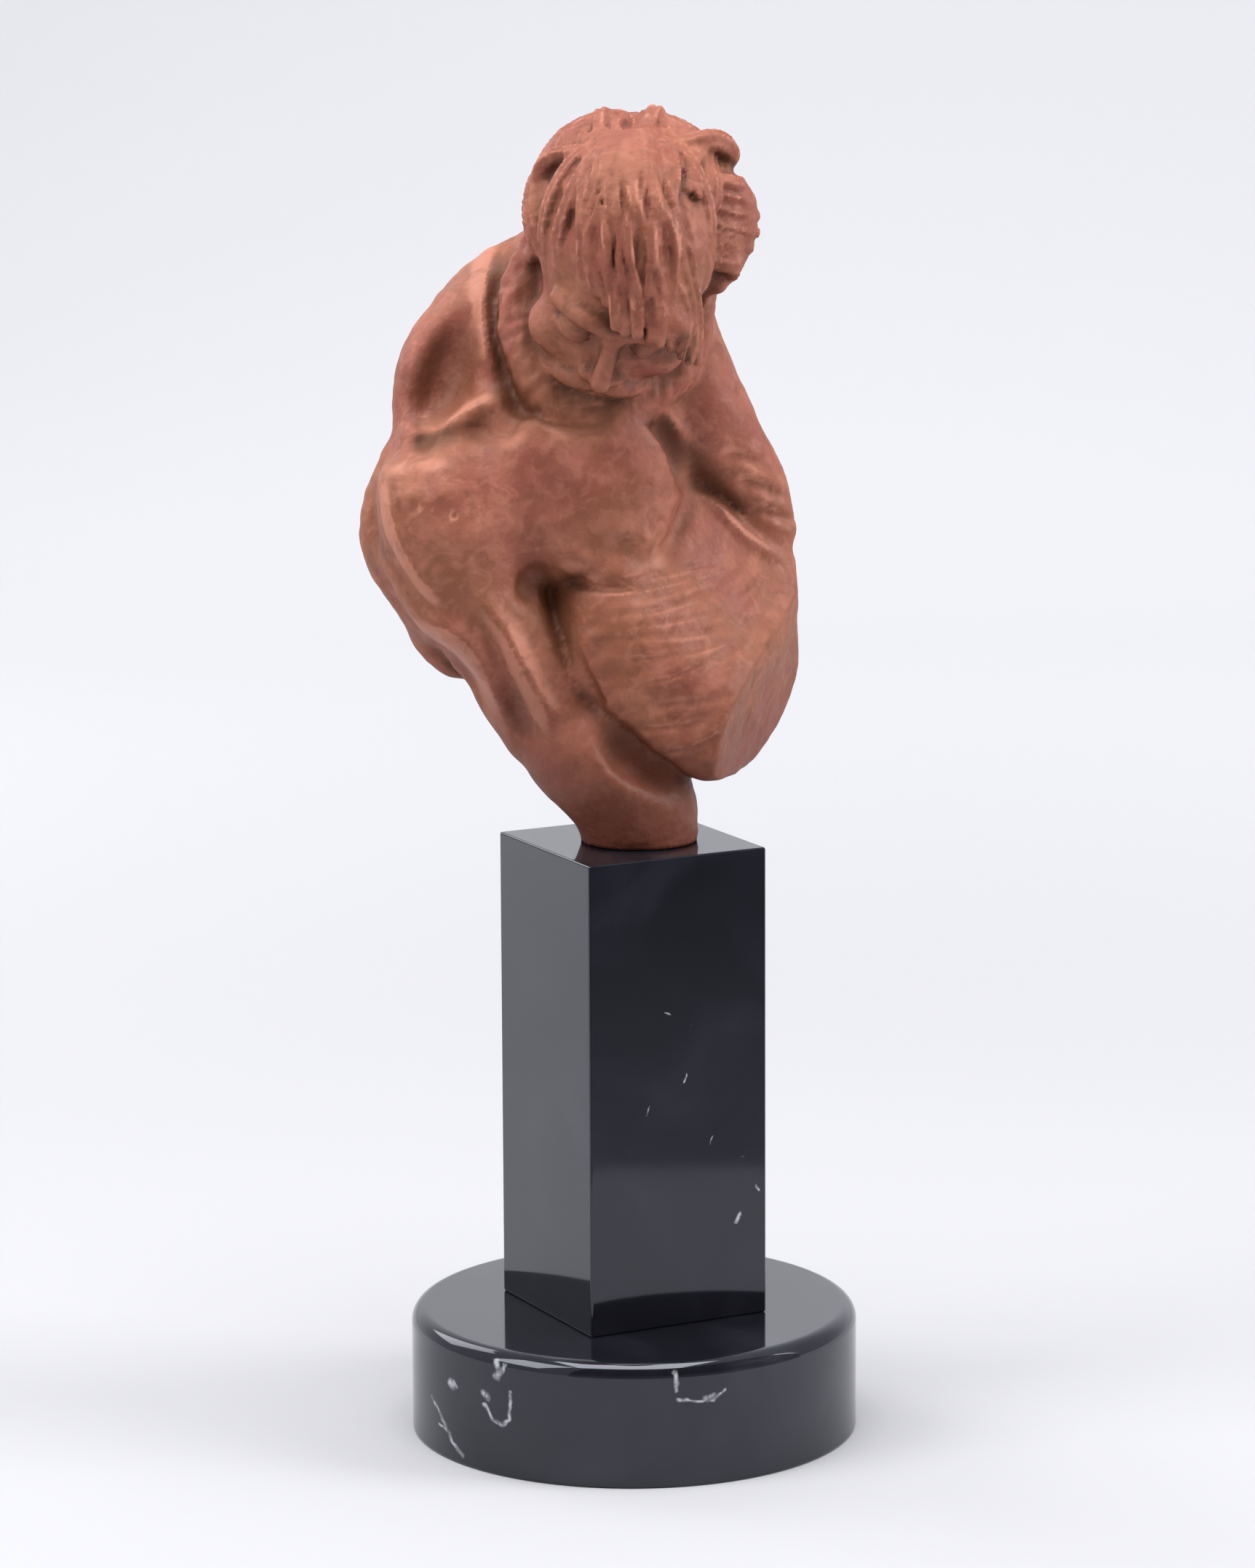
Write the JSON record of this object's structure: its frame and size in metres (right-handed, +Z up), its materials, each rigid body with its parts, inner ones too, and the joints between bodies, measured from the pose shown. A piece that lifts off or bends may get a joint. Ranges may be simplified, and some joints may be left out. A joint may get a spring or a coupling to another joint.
{
  "type": "bust on plinth",
  "caption": "Small cast bust of a muscular gymnast leaning forward, cut off below the ribs, on a square column and a round base.",
  "frame": {"origin": "centre of the round base's underside, where the part stands", "axes": "+Z up through the middle of the base and the column; the column's four faces look along +X, -X, +Y and -Y; the figure faces a viewer who stands towards -X and -Y, 27.4 degrees off -Y"},
  "size_m": [0.1196, 0.114, 0.3383],
  "materials": {
    "black_marble": "polished near-black marble with a few thin white veins",
    "terracotta_bronze": "cast bronze under a soft, opaque terracotta-red patina, darker and greener in the hollows"
  },
  "bodies": {
    "root": {"round_base": "black_marble", "column": "black_marble", "bust": "terracotta_bronze"}
  },
  "joints": []
}
